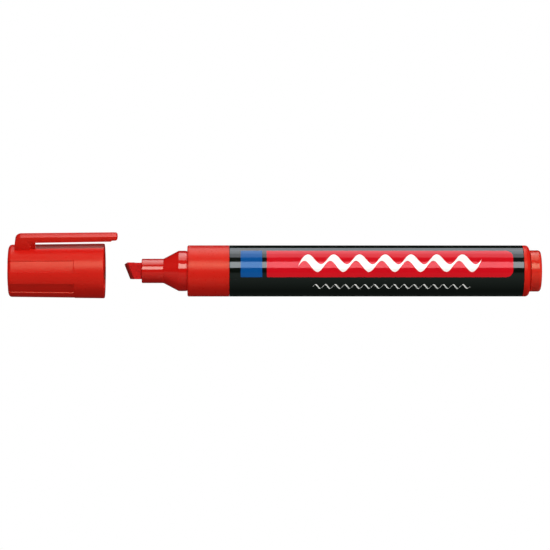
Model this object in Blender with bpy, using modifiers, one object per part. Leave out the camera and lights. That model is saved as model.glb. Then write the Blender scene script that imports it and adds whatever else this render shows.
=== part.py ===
"""Felt tip marker with a chisel nib, lying along X with its cap pulled off in front of the nib.

The pen's axis runs along +X. The cap is at -X with its mouth towards the nib, the clip is on top (+Z),
and the lowest point of the cap's rim is at Z = 0. X = 0 is halfway along the laid-out pen and cap.
"""
import math

import bmesh
import bpy
from mathutils import Matrix, Vector

MM = 0.001

# --- driving dimensions ---------------------------------------------------------------------------
SEGMENTS = 48                      # sides of a turned piece
ARC_STEPS = 4                      # straight stretches in a rounded corner
SEAM = 0.15 * MM                   # half of the gap left between two pieces that touch end to end

# cap
CAP_LENGTH = 29.15 * MM
CAP_RIM_RADIUS = 8.35 * MM
CAP_END_RADIUS = 8.0 * MM
CAP_CORNER = 1.1 * MM              # rounding at the closed end
CAP_BORE_RADIUS = 6.4 * MM
CAP_END_WALL = 1.7 * MM
CAP_PULLED_OFF = 25.2 * MM         # from the rim to the shoulder that it seats on
FLUTE_COUNT = 7                    # equal places round the cap; the clip takes one of them
FLUTE_ANGLE = math.radians(26)
FLUTE_LENGTH = 20.0 * MM
FLUTE_DEPTH = 0.3 * MM

# sealing cup inside the cap
SEAL_BORE_RADIUS = 3.95 * MM
SEAL_WALL = 1.0 * MM
SEAL_LENGTH = 18.85 * MM
SEAL_FLANGE_RADIUS = 6.15 * MM
SEAL_FLANGE = 1.1 * MM

# clip; heights are above the pen's axis and stations are from the cap's closed end
CLIP_WIDTH = 2.9 * MM
CLIP_ROOT_HEIGHT = 12.3 * MM
CLIP_TIP_HEIGHT = 12.65 * MM
CLIP_ROOT_UNDERSIDE = 10.5 * MM
CLIP_TIP_UNDERSIDE = 10.95 * MM
CLIP_NOSE_UNDERSIDE = 11.3 * MM    # the last bit of the tip is thinner
CLIP_NOSE_START = 31.2 * MM
CLIP_TIP = 33.3 * MM
POST_FOOT = 1.9 * MM               # where the post's leaning back edge meets the cap
POST_LEAN = 0.5 * MM               # how far that edge leans over up to the clip's top
POST_CORNER = 1.8 * MM
POST_END = 6.85 * MM
POST_WEB_WIDTH = 1.2 * MM
POST_WEB_END = 8.15 * MM
FLEXURE_STATION = 7.0 * MM
FLEXURE_HEIGHT = 11.45 * MM

# nib; its broad side faces away from the clip by this turn about the pen's axis
NIB_TURN = math.radians(-29.5)
NIB_WIDTH = 5.0 * MM
NIB_THICKNESS = 3.2 * MM
NIB_EDGE_ROUNDING = 0.3 * MM
NIB_LENGTH = 40.5 * MM
NIB_REACH = 5.15 * MM              # from the nozzle's front face to the nib's tip
NIB_TIP_HEIGHT = 1.95 * MM         # of the foremost point above the nib's middle
NIB_SLANT = math.radians(21.6)     # lean of the writing edge
NIB_TOP_BEVEL = math.radians(29.5)
NIB_EDGE_THICKNESS = 1.0 * MM
NIB_WEDGE = 1.15 * MM              # how far the two chisel facets run back

# nozzle
TIP_RADIUS = 3.7 * MM
TIP_LENGTH = 6.6 * MM
CONE_LENGTH = 4.65 * MM
BASE_RADIUS = 6.15 * MM
BASE_LENGTH = 2.65 * MM
NOZZLE_SPIGOT = 8.2 * MM           # length hidden inside the collar
NOZZLE_BORE_RADIUS = 3.3 * MM
NIB_CLEARANCE = 0.15 * MM

# collar, barrel and rear end
BARREL_RADIUS = 7.8 * MM
BARREL_WALL = 0.4 * MM
BARREL_LENGTH = 89.4 * MM
COLLAR_LENGTH = 12.75 * MM
COLLAR_BORE_RADIUS = 6.45 * MM
SPIGOT_RADIUS = 7.2 * MM
COLLAR_SPIGOT = 8.0 * MM
RING_LENGTH = 2.05 * MM
RING_BORE_RADIUS = 5.2 * MM
RING_SPIGOT = 5.2 * MM
RING_CORNER = 1.15 * MM
PLUG_RADIUS = 6.3 * MM
PLUG_LENGTH = 3.55 * MM
PLUG_NECK_RADIUS = 4.9 * MM
PLUG_NECK = 7.9 * MM
PLUG_CORNER = 0.75 * MM

# ink reservoir
CORE_RADIUS = 5.8 * MM
CORE_LENGTH = 87.0 * MM
CORE_POCKET = 13.0 * MM            # depth of the slot that the nib's stem fills
FILM_BORE_RADIUS = 6.05 * MM
FILM_WALL = 0.15 * MM

# --- places along X -------------------------------------------------------------------------------
NOZZLE_LENGTH = TIP_LENGTH + CONE_LENGTH + BASE_LENGTH
PEN_BEHIND_SHOULDER = COLLAR_LENGTH + BARREL_LENGTH + RING_LENGTH + PLUG_LENGTH
WHOLE_LENGTH = CAP_LENGTH + CAP_PULLED_OFF + PEN_BEHIND_SHOULDER
CAP_END_X = -WHOLE_LENGTH / 2
SHOULDER_X = CAP_END_X + CAP_LENGTH + CAP_PULLED_OFF
NOZZLE_FRONT_X = SHOULDER_X - NOZZLE_LENGTH
NIB_TIP_X = NOZZLE_FRONT_X - NIB_REACH
BARREL_FRONT_X = SHOULDER_X + COLLAR_LENGTH
BARREL_REAR_X = BARREL_FRONT_X + BARREL_LENGTH
RING_REAR_X = BARREL_REAR_X + RING_LENGTH
PLUG_REAR_X = RING_REAR_X + PLUG_LENGTH
CORE_FRONT_X = SHOULDER_X + NOZZLE_SPIGOT + 2 * SEAM
AXIS_HEIGHT = CAP_RIM_RADIUS

ALONG_X = (0.0, math.radians(90), 0.0)   # turns a piece made about Z so that it lies along X
TOWARDS_CLIP = math.pi                   # the clip's side, as an angle about a turned piece's own Z


# --- helpers --------------------------------------------------------------------------------------
def clear_scene():
    for obj in list(bpy.data.objects):
        bpy.data.objects.remove(obj)


def new_collection(name):
    collection = bpy.data.collections.new(name)
    bpy.context.scene.collection.children.link(collection)
    return collection


def new_material(name, colour, roughness, metallic=0.0):
    material = bpy.data.materials.new(name)
    material.use_nodes = True
    shader = material.node_tree.nodes["Principled BSDF"]
    shader.inputs["Base Color"].default_value = (*colour, 1.0)
    shader.inputs["Roughness"].default_value = roughness
    shader.inputs["Metallic"].default_value = metallic
    return material


def add_object(name, data, collection, material=None):
    obj = bpy.data.objects.new(name, data)
    collection.objects.link(obj)
    if material:
        data.materials.append(material)
    return obj


def hide_cutter(obj):
    obj.hide_render = True
    obj.display_type = "WIRE"


def rounded(outline, closed=True):
    """Points of an outline of (station, height, corner radius), its corners turned into arcs."""
    points = []
    for i, (station, height, radius) in enumerate(outline):
        corner = Vector((station, height))
        at_end = not closed and i in (0, len(outline) - 1)
        if radius == 0 or at_end:
            points.append(corner)
            continue
        to_last = (Vector(outline[i - 1][:2]) - corner).normalized()
        to_next = (Vector(outline[(i + 1) % len(outline)][:2]) - corner).normalized()
        half = to_last.angle(to_next) / 2
        centre = corner + (to_last + to_next).normalized() * radius / math.sin(half)
        start = corner + to_last * radius / math.tan(half) - centre
        end = corner + to_next * radius / math.tan(half) - centre
        sweep = start.angle(end)
        for step in range(ARC_STEPS + 1):
            angle = sweep * step / ARC_STEPS
            turned_vector = (start * math.sin(sweep - angle) + end * math.sin(angle)) / math.sin(sweep)
            points.append(centre + turned_vector)
    return points


def profile_mesh(name, outline, closed):
    """A line of edges at +X for the Screw modifier, from (station, radius, corner radius) points."""
    points = rounded(outline, closed)
    edges = [(i, i + 1) for i in range(len(points) - 1)]
    if closed:
        edges.append((len(points) - 1, 0))
    mesh = bpy.data.meshes.new(name)
    mesh.from_pydata([(point.y, 0.0, point.x) for point in points], edges, [])
    return mesh


def add_screw(obj, steps, angle=2 * math.pi):
    screw = obj.modifiers.new("turn", "SCREW")
    screw.angle = angle
    screw.steps = steps
    screw.render_steps = steps
    screw.use_merge_vertices = True
    screw.merge_threshold = 0.000001


def turned(name, outline, material, collection, closed=True):
    """A piece of revolution. A closed outline is a ring; an open one starts and ends on the axis."""
    obj = add_object(name, profile_mesh(name, outline, closed), collection, material)
    add_screw(obj, SEGMENTS)
    obj.rotation_euler = ALONG_X
    return obj


def sheet(name, outline, width, collection, material=None):
    """A flat outline in the XZ plane, as thick as width along Y, made a mesh."""
    curve = bpy.data.curves.new(name, "CURVE")
    curve.dimensions = "2D"
    curve.fill_mode = "BOTH"
    curve.extrude = width / 2
    points = rounded(outline)
    spline = curve.splines.new("POLY")
    spline.points.add(len(points) - 1)
    for spline_point, point in zip(spline.points, points):
        spline_point.co = (point.x, point.y, 0.0, 1.0)
    spline.use_cyclic_u = True
    curve_object = add_object(name + "_outline", curve, collection)
    depsgraph = bpy.context.evaluated_depsgraph_get()
    mesh = bpy.data.meshes.new_from_object(curve_object.evaluated_get(depsgraph))
    bpy.data.objects.remove(curve_object)
    mesh.transform(Matrix.Rotation(math.radians(90), 4, "X"))
    weld(mesh)
    return add_object(name, mesh, collection, material)


def weld(mesh):
    shape = bmesh.new()
    shape.from_mesh(mesh)
    bmesh.ops.remove_doubles(shape, verts=shape.verts, dist=0.000001)
    bmesh.ops.recalc_face_normals(shape, faces=shape.faces)
    shape.to_mesh(mesh)
    shape.free()


def box(name, low, high, collection, material=None):
    """A box between two corners, its origin at its middle."""
    mesh = bpy.data.meshes.new(name)
    shape = bmesh.new()
    size = Vector(high) - Vector(low)
    bmesh.ops.create_cube(shape, size=1.0, matrix=Matrix.Diagonal((*size, 1.0)))
    shape.to_mesh(mesh)
    shape.free()
    obj = add_object(name, mesh, collection, material)
    obj.location = (Vector(low) + Vector(high)) / 2
    return obj


def add_boolean(obj, operation, other):
    boolean = obj.modifiers.new(operation.lower(), "BOOLEAN")
    boolean.operation = operation
    boolean.object = other


def set_smooth(obj):
    obj.data.shade_smooth()
    obj.data.set_sharp_from_angle(angle=math.radians(30))


# --- cap ------------------------------------------------------------------------------------------
def cap_radius(station):
    """Outer radius of the cap, which widens evenly from its closed end to its rim."""
    return CAP_END_RADIUS + (CAP_RIM_RADIUS - CAP_END_RADIUS) * station / CAP_LENGTH


def make_flute_cutter(name, place, cap, cutters):
    """A curved slab that takes one flute out of the cap's side and round its closed end."""
    floor = [
        (FLUTE_LENGTH, cap_radius(FLUTE_LENGTH) - FLUTE_DEPTH, 0),
        (FLUTE_DEPTH, CAP_END_RADIUS - FLUTE_DEPTH, CAP_CORNER - FLUTE_DEPTH),
        (FLUTE_DEPTH, CAP_END_RADIUS - CAP_CORNER, 0),
    ]
    cutter = add_object(name, profile_mesh(name, floor, closed=False), cutters)
    add_screw(cutter, 6, FLUTE_ANGLE)
    slab = cutter.modifiers.new("slab", "SOLIDIFY")
    slab.thickness = 3 * FLUTE_DEPTH
    slab.offset = 1.0
    cutter.parent = cap
    cutter.rotation_euler.z = place - FLUTE_ANGLE / 2
    hide_cutter(cutter)
    return cutter


def make_post(cap, cutters):
    """The clip's post and the narrow web in front of it, which are one moulding with the cap."""
    sunk = CAP_BORE_RADIUS + 0.6 * MM
    post_outline = [
        (POST_FOOT, sunk, 0),
        (POST_END, sunk, 0),
        (POST_END, CLIP_ROOT_HEIGHT, 0),
        (POST_FOOT + POST_LEAN, CLIP_ROOT_HEIGHT, POST_CORNER),
    ]
    web_top = CLIP_ROOT_UNDERSIDE - 2 * SEAM
    web_outline = [
        (POST_END - 1.0 * MM, sunk, 0),
        (POST_WEB_END, sunk, 0),
        (POST_WEB_END, web_top, 0),
        (POST_END - 1.0 * MM, web_top, 0),
    ]
    for name, outline, width in (
        ("post", post_outline, CLIP_WIDTH),
        ("post_web", web_outline, POST_WEB_WIDTH),
    ):
        piece = sheet(name, outline, width, cutters)
        piece.location = (CAP_END_X, 0.0, AXIS_HEIGHT)
        hide_cutter(piece)
        add_boolean(cap, "UNION", piece)


def make_cap(parts, cutters):
    red = new_material("cap_red", (0.7, 0.012, 0.008), 0.5)
    outline = [
        (CAP_LENGTH, CAP_RIM_RADIUS, 0.3 * MM),
        (0.0, CAP_END_RADIUS, CAP_CORNER),
        (0.0, 0.0, 0),
        (CAP_END_WALL, 0.0, 0),
        (CAP_END_WALL, CAP_BORE_RADIUS, 0),
        (CAP_LENGTH, CAP_BORE_RADIUS, 0.4 * MM),
    ]
    # the outline starts and ends on the axis, so it is turned round to begin at the end wall's inside
    outline = outline[3:] + outline[:3]
    cap = turned("cap_shell", outline, red, parts, closed=False)
    cap.location = (CAP_END_X, 0.0, AXIS_HEIGHT)
    for place in range(1, FLUTE_COUNT):
        angle = TOWARDS_CLIP + 2 * math.pi * place / FLUTE_COUNT
        cutter = make_flute_cutter(f"flute_{place}", angle, cap, cutters)
        add_boolean(cap, "DIFFERENCE", cutter)
    make_post(cap, cutters)
    return cap


def make_cap_seal(cap, parts):
    natural = new_material("seal_natural", (0.7, 0.7, 0.66), 0.45)
    front = CAP_END_WALL + SEAM
    outline = [
        (front + SEAL_FLANGE, 0.0, 0),
        (front + SEAL_FLANGE, SEAL_BORE_RADIUS, 0),
        (front + SEAL_LENGTH, SEAL_BORE_RADIUS, 0.25 * MM),
        (front + SEAL_LENGTH, SEAL_BORE_RADIUS + SEAL_WALL, 0.3 * MM),
        (front + SEAL_FLANGE, SEAL_BORE_RADIUS + SEAL_WALL, 0),
        (front + SEAL_FLANGE, SEAL_FLANGE_RADIUS, 0),
        (front, SEAL_FLANGE_RADIUS, 0),
        (front, 0.0, 0),
    ]
    seal = turned("cap_seal", outline, natural, parts, closed=False)
    seal.rotation_euler = (0.0, 0.0, 0.0)
    seal.parent = cap
    return seal


def make_clip(parts):
    """The clip's arm, which thins towards its tip. It hangs on an empty at its flexure."""
    red = new_material("clip_red", (0.7, 0.012, 0.008), 0.5)
    start = POST_END + 2 * SEAM
    outline = [
        (start, CLIP_ROOT_UNDERSIDE, 0),
        (CLIP_NOSE_START, CLIP_TIP_UNDERSIDE, 0.2 * MM),
        (CLIP_NOSE_START + 0.4 * MM, CLIP_NOSE_UNDERSIDE, 0.2 * MM),
        (CLIP_TIP, CLIP_NOSE_UNDERSIDE, 0.45 * MM),
        (CLIP_TIP, CLIP_TIP_HEIGHT, 0.45 * MM),
        (start, CLIP_ROOT_HEIGHT, 0),
    ]
    flexure = bpy.data.objects.new("clip_flexure", None)
    parts.objects.link(flexure)
    flexure.location = (CAP_END_X + FLEXURE_STATION, 0.0, AXIS_HEIGHT + FLEXURE_HEIGHT)
    clip = sheet("pocket_clip", outline, CLIP_WIDTH, parts, red)
    clip.parent = flexure
    clip.location = (-FLEXURE_STATION, 0.0, -FLEXURE_HEIGHT)
    return clip


# --- front end ------------------------------------------------------------------------------------
def make_nib(parts, cutters):
    """A felt bar, cut off on a slant and brought to a blunt edge by two facets."""
    felt = new_material("nib_felt", (0.5, 0.02, 0.015), 0.85)
    half_width = NIB_WIDTH / 2
    half_thickness = NIB_THICKNESS / 2
    frame = bpy.data.objects.new("nib_frame", None)
    parts.objects.link(frame)
    frame.location = (NIB_TIP_X, 0.0, AXIS_HEIGHT)
    frame.rotation_euler = (NIB_TURN, 0.0, 0.0)
    nib = box(
        "nib",
        (0.0, -half_thickness, -half_width),
        (NIB_LENGTH, half_thickness, half_width),
        parts,
        felt,
    )
    nib.parent = frame
    bevel = nib.modifiers.new("worn_edges", "BEVEL")
    bevel.width = NIB_EDGE_ROUNDING
    bevel.segments = 2

    slant = bpy.data.objects.new("nib_slant", None)
    cutters.objects.link(slant)
    slant.parent = frame
    slant.location = (0.0, 0.0, NIB_TIP_HEIGHT)
    slant.rotation_euler = (0.0, -NIB_SLANT, 0.0)
    reach = 8.0 * MM
    facet_angle = math.atan2(half_thickness - NIB_EDGE_THICKNESS / 2, NIB_WEDGE)
    end_cut = box("nib_end_cut", (-reach, -reach, -reach), (0.0, reach, reach), cutters)
    end_cut.parent = slant
    hide_cutter(end_cut)
    add_boolean(nib, "DIFFERENCE", end_cut)
    for side in (-1, 1):
        # the facet starts at the writing edge and widens to the bar's full thickness
        facet = bpy.data.objects.new("nib_facet_plane", None)
        cutters.objects.link(facet)
        facet.parent = slant
        facet.location = (0.0, side * NIB_EDGE_THICKNESS / 2, 0.0)
        facet.rotation_euler = (0.0, 0.0, side * facet_angle)
        low, high = sorted((0.0, side * reach))
        cut = box("nib_facet_cut", (-reach, low, -reach), (reach, high, reach), cutters)
        cut.parent = facet
        hide_cutter(cut)
        add_boolean(nib, "DIFFERENCE", cut)
    top = bpy.data.objects.new("nib_top_plane", None)
    cutters.objects.link(top)
    top.parent = frame
    top.location = (0.0, 0.0, NIB_TIP_HEIGHT)
    top.rotation_euler = (0.0, -NIB_TOP_BEVEL, 0.0)
    top_cut = box("nib_top_cut", (-reach, -reach, 0.0), (reach, reach, reach), cutters)
    top_cut.parent = top
    hide_cutter(top_cut)
    add_boolean(nib, "DIFFERENCE", top_cut)
    return nib


def make_stem_slot(name, low_x, high_x, cutters):
    """A bar a little larger than the nib's section, turned with it, for cutting what the nib goes into."""
    half_width = NIB_WIDTH / 2 + NIB_CLEARANCE
    half_thickness = NIB_THICKNESS / 2 + NIB_CLEARANCE
    slot = box(name, (low_x, -half_thickness, -half_width), (high_x, half_thickness, half_width), cutters)
    slot.location.z = AXIS_HEIGHT
    slot.rotation_euler = (NIB_TURN, 0.0, 0.0)
    hide_cutter(slot)
    return slot


def make_nozzle(parts, cutters):
    glossy_red = new_material("nozzle_red", (0.68, 0.01, 0.008), 0.12)
    face_thickness = 5.0 * MM
    rear_x = SHOULDER_X + NOZZLE_SPIGOT
    cone_x = NOZZLE_FRONT_X + TIP_LENGTH
    outline = [
        (NOZZLE_FRONT_X + face_thickness, 0.0, 0),
        (NOZZLE_FRONT_X + face_thickness, NOZZLE_BORE_RADIUS - 0.3 * MM, 0),
        (rear_x, NOZZLE_BORE_RADIUS, 0),
        (rear_x, BASE_RADIUS, 0.3 * MM),
        (SHOULDER_X - BASE_LENGTH, BASE_RADIUS, 0),
        (cone_x, TIP_RADIUS, 0),
        (NOZZLE_FRONT_X, TIP_RADIUS, 0.25 * MM),
        (NOZZLE_FRONT_X, 0.0, 0),
    ]
    nozzle = turned("nozzle", outline, glossy_red, parts, closed=False)
    nozzle.location.z = AXIS_HEIGHT
    slot = make_stem_slot("nozzle_slot", NOZZLE_FRONT_X - 1.0 * MM, rear_x - 1.0 * MM, cutters)
    add_boolean(nozzle, "DIFFERENCE", slot)
    return nozzle


def make_collar(parts):
    matte_red = new_material("collar_red", (0.7, 0.012, 0.008), 0.5)
    spigot_x = BARREL_FRONT_X + COLLAR_SPIGOT
    outline = [
        (spigot_x, SPIGOT_RADIUS, 0.25 * MM),
        (BARREL_FRONT_X - SEAM, SPIGOT_RADIUS, 0),
        (BARREL_FRONT_X - SEAM, BARREL_RADIUS, 0),
        (SHOULDER_X, BARREL_RADIUS, 0.45 * MM),
        (SHOULDER_X, COLLAR_BORE_RADIUS, 0),
        (spigot_x, COLLAR_BORE_RADIUS, 0),
    ]
    collar = turned("collar", outline, matte_red, parts)
    collar.location.z = AXIS_HEIGHT
    return collar


# --- barrel and rear end --------------------------------------------------------------------------
def make_barrel(parts):
    black_lacquer = new_material("barrel_black", (0.002, 0.003, 0.002), 0.1)
    outline = [
        (BARREL_REAR_X - SEAM, BARREL_RADIUS, 0),
        (BARREL_FRONT_X + SEAM, BARREL_RADIUS, 0),
        (BARREL_FRONT_X + SEAM, BARREL_RADIUS - BARREL_WALL, 0),
        (BARREL_REAR_X - SEAM, BARREL_RADIUS - BARREL_WALL, 0),
    ]
    barrel = turned("barrel", outline, black_lacquer, parts)
    barrel.location.z = AXIS_HEIGHT
    return barrel


def make_end_ring(parts):
    matte_red = new_material("ring_red", (0.7, 0.012, 0.008), 0.5)
    outline = [
        (RING_REAR_X, BARREL_RADIUS, RING_CORNER),
        (BARREL_REAR_X, BARREL_RADIUS, 0),
        (BARREL_REAR_X, SPIGOT_RADIUS, 0),
        (BARREL_REAR_X - RING_SPIGOT, SPIGOT_RADIUS, 0.25 * MM),
        (BARREL_REAR_X - RING_SPIGOT, RING_BORE_RADIUS, 0),
        (RING_REAR_X, RING_BORE_RADIUS, 0),
    ]
    ring = turned("end_ring", outline, matte_red, parts)
    ring.location.z = AXIS_HEIGHT
    return ring


def make_end_plug(parts):
    satin_red = new_material("plug_red", (0.7, 0.03, 0.02), 0.25)
    button_x = RING_REAR_X + 2 * SEAM
    outline = [
        (PLUG_REAR_X, 0.0, 0),
        (PLUG_REAR_X, PLUG_RADIUS, PLUG_CORNER),
        (button_x, PLUG_RADIUS, 0),
        (button_x, PLUG_NECK_RADIUS, 0),
        (RING_REAR_X - PLUG_NECK, PLUG_NECK_RADIUS, 0.3 * MM),
        (RING_REAR_X - PLUG_NECK, 0.0, 0),
    ]
    plug = turned("end_plug", outline, satin_red, parts, closed=False)
    plug.location.z = AXIS_HEIGHT
    return plug


# --- ink reservoir --------------------------------------------------------------------------------
def make_ink_core(parts, cutters):
    red_fibre = new_material("core_fibre", (0.35, 0.01, 0.01), 0.9)
    rear_x = CORE_FRONT_X + CORE_LENGTH
    outline = [
        (rear_x, 0.0, 0),
        (rear_x, CORE_RADIUS, 0),
        (CORE_FRONT_X, CORE_RADIUS, 0),
        (CORE_FRONT_X, 0.0, 0),
    ]
    core = turned("ink_core", outline, red_fibre, parts, closed=False)
    core.location.z = AXIS_HEIGHT
    slot = make_stem_slot("core_slot", CORE_FRONT_X - 2.0 * MM, CORE_FRONT_X + CORE_POCKET, cutters)
    add_boolean(core, "DIFFERENCE", slot)
    return core


def make_core_film(parts):
    clear_film = new_material("film_clear", (0.75, 0.7, 0.7), 0.3)
    rear_x = CORE_FRONT_X + CORE_LENGTH
    outline = [
        (rear_x, FILM_BORE_RADIUS + FILM_WALL, 0),
        (CORE_FRONT_X, FILM_BORE_RADIUS + FILM_WALL, 0),
        (CORE_FRONT_X, FILM_BORE_RADIUS, 0),
        (rear_x, FILM_BORE_RADIUS, 0),
    ]
    film = turned("core_film", outline, clear_film, parts)
    film.location.z = AXIS_HEIGHT
    return film


def main():
    clear_scene()
    parts = new_collection("felt_tip_marker")
    cutters = new_collection("cutters")
    cap = make_cap(parts, cutters)
    pieces = [
        cap,
        make_cap_seal(cap, parts),
        make_clip(parts),
        make_nib(parts, cutters),
        make_nozzle(parts, cutters),
        make_collar(parts),
        make_barrel(parts),
        make_end_ring(parts),
        make_end_plug(parts),
        make_ink_core(parts, cutters),
        make_core_film(parts),
    ]
    for piece in pieces:
        set_smooth(piece)


main()
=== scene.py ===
"""Looks of the felt tip marker: fine meshes, procedural materials, studio light and camera.

Everything is in metres in the row frame: the pen's axis runs along +X, the clip is at +Z, and the
lowest point of the cap's rim is at Z = 0. Angles round the pen are counted from -Y towards +Z.
"""
import math

import bmesh
import bpy
from mathutils import Matrix, Vector, noise


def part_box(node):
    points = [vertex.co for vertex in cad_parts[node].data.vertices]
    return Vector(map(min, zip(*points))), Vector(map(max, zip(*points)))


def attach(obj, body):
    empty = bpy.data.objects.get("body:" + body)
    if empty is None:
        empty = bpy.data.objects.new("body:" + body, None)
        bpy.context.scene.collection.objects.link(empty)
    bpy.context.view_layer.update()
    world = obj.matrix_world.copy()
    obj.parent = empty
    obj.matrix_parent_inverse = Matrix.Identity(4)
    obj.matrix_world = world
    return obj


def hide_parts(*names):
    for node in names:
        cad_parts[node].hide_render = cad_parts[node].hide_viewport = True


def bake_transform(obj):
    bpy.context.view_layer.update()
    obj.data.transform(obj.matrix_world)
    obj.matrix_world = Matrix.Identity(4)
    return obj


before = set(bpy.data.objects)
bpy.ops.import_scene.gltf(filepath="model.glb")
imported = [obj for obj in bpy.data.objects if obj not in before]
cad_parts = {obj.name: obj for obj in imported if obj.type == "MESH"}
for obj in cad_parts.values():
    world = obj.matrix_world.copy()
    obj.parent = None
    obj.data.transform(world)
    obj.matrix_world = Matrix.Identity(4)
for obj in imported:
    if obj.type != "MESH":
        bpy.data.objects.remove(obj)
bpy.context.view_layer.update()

MM = 0.001
DEG = math.radians(1)

# --- places read from the frame -----------------------------------------------------------------
cap_low, cap_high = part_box("cap_shell")
clip_low, clip_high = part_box("pocket_clip")
seal_low, seal_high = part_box("cap_seal")
nib_low, nib_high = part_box("nib")
nozzle_low, nozzle_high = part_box("nozzle")
collar_low, collar_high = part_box("collar")
barrel_low, barrel_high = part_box("barrel")
ring_low, ring_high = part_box("end_ring")
plug_low, plug_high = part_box("end_plug")

AXIS_Z = (barrel_low.z + barrel_high.z) / 2
BARREL_RADIUS = barrel_high.y
CAP_END_X = cap_low.x
CAP_RIM_X = cap_high.x
SHOULDER_X = collar_low.x
NOZZLE_FRONT_X = nozzle_low.x
RING_REAR_X = ring_high.x
PLUG_REAR_X = plug_high.x

SEAM = 0.15 * MM                 # half of the gap that the CAD solids keep where two pieces touch
TIGHT_SEAM = 0.02 * MM           # half of the gap that the finished pieces show there
BARREL_FRONT_X = barrel_low.x - SEAM
BARREL_REAR_X = barrel_high.x + SEAM

SIDES = 192                      # sides of a turned piece
ARC_STEPS = 8                    # straight stretches in a rounded corner
ON_AXIS = 1e-7                   # a radius under this is a point on the pen's axis

# --- sizes of the moulded details ---------------------------------------------------------------
CAP_RIM_RADIUS = 8.35 * MM
CAP_END_RADIUS = 8.0 * MM
CAP_CORNER = 1.1 * MM
CAP_BORE_RADIUS = 6.4 * MM
CAP_END_WALL = 1.7 * MM
FLUTE_PLACES = 7                 # the clip stands in one of them
FLUTE_ANGLE = 25 * DEG
FLUTE_WALL_ANGLE = 0.9 * DEG     # that a side wall takes up
FLUTE_END_WALL = 0.1 * MM        # half of the length that the wall at a flute's end takes up
FLUTE_LENGTH = 20.0 * MM
FLUTE_EDGE_DEPTH = 0.26 * MM     # of a flute's floor under the land beside it
FLUTE_FLATNESS = 0.35            # 1 for a flat floor, 0 for one that follows the cap's curve

CLIP_WIDTH = clip_high.y - clip_low.y
CLIP_ROOT_HEIGHT = 12.3 * MM     # heights above the pen's axis
CLIP_ROOT_UNDERSIDE = 10.5 * MM
CLIP_TIP_UNDERSIDE = 10.95 * MM
CLIP_NOSE_UNDERSIDE = 11.3 * MM
CLIP_NOSE_START = 31.2 * MM      # distances from the cap's closed end
POST_FOOT = 1.9 * MM
POST_TOP = 2.4 * MM
POST_END = 6.85 * MM
POST_WEB_END = 8.3 * MM
POST_WEB_WIDTH = 1.2 * MM

NIB_TURN = -29.5 * DEG           # about the pen's axis, so that a broad side faces the camera
NIB_WIDTH = 5.0 * MM
NIB_THICKNESS = 3.2 * MM
NIB_TIP_HEIGHT = 1.95 * MM       # of the foremost point above the nib's middle
NIB_SLANT = 21.6 * DEG           # lean of the writing edge
NIB_TOP_BEVEL = 29.5 * DEG
NIB_EDGE_THICKNESS = 1.0 * MM
NIB_WEDGE = 1.15 * MM            # how far the two chisel facets run back
NIB_WORN_EDGE = 0.4 * MM         # worn off the two top edges

TIP_RADIUS = 3.7 * MM            # of the nozzle's tip and base cylinders
TIP_LENGTH = 6.6 * MM
BASE_RADIUS = 6.15 * MM
BASE_LENGTH = 2.65 * MM
SPIGOT_RADIUS = 7.2 * MM         # of the collar and the end ring, inside the barrel
COLLAR_BORE_RADIUS = 6.45 * MM
RING_BORE_RADIUS = 5.2 * MM
PLUG_NECK_RADIUS = 4.9 * MM


# --- mesh helpers -------------------------------------------------------------------------------
def rounded(outline, closed=False):
    """Points of an outline of (x, radius, corner radius), its corners turned into arcs."""
    points = []
    for i, (x, radius, corner_radius) in enumerate(outline):
        corner = Vector((x, radius))
        at_end = not closed and i in (0, len(outline) - 1)
        if corner_radius == 0 or at_end:
            points.append(corner)
            continue
        to_last = (Vector(outline[i - 1][:2]) - corner).normalized()
        to_next = (Vector(outline[(i + 1) % len(outline)][:2]) - corner).normalized()
        half = to_last.angle(to_next) / 2
        centre = corner + (to_last + to_next).normalized() * corner_radius / math.sin(half)
        start = corner + to_last * corner_radius / math.tan(half) - centre
        end = corner + to_next * corner_radius / math.tan(half) - centre
        sweep = start.angle(end)
        for step in range(ARC_STEPS + 1):
            angle = sweep * step / ARC_STEPS
            spoke = (start * math.sin(sweep - angle) + end * math.sin(angle)) / math.sin(sweep)
            points.append(centre + spoke)
    return points


def around(x, radius, angle):
    """A point at an angle round the pen, counted from -Y towards +Z."""
    return Vector((x, -radius * math.cos(angle), AXIS_Z + radius * math.sin(angle)))


def add_piece(name, mesh, material, sharp_angle=35):
    """Links a finished mesh, with smooth shading that stays crisp at its real edges."""
    mesh.name = name
    piece = bpy.data.objects.new(name, mesh)
    bpy.context.scene.collection.objects.link(piece)
    mesh.materials.clear()
    mesh.materials.append(material)
    mesh.shade_smooth()
    mesh.set_sharp_from_angle(angle=math.radians(sharp_angle))
    return piece


def keep_flats_flat(piece):
    """Weights vertex normals by face area, so that flat faces stay flat next to rounded edges."""
    weighted = piece.modifiers.new("flat_faces", "WEIGHTED_NORMAL")
    weighted.keep_sharp = True


def mesh_from(shape, name):
    """Turns a bmesh into a mesh whose faces all point outwards."""
    bmesh.ops.recalc_face_normals(shape, faces=shape.faces)
    mesh = bpy.data.meshes.new(name)
    shape.to_mesh(mesh)
    shape.free()
    return mesh


def skin_rings(shape, rings, closed):
    """Joins neighbouring rings with faces; a ring of one vertex is a point on the axis."""
    pairs = list(zip(rings, rings[1:]))
    if closed:
        pairs.append((rings[-1], rings[0]))
    for ring, following in pairs:
        count = max(len(ring), len(following))
        for i in range(count):
            j = (i + 1) % count
            corners = [
                ring[i % len(ring)],
                ring[j % len(ring)],
                following[j % len(following)],
                following[i % len(following)],
            ]
            unique = list(dict.fromkeys(corners))
            if len(unique) > 2:
                shape.faces.new(unique)


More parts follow.
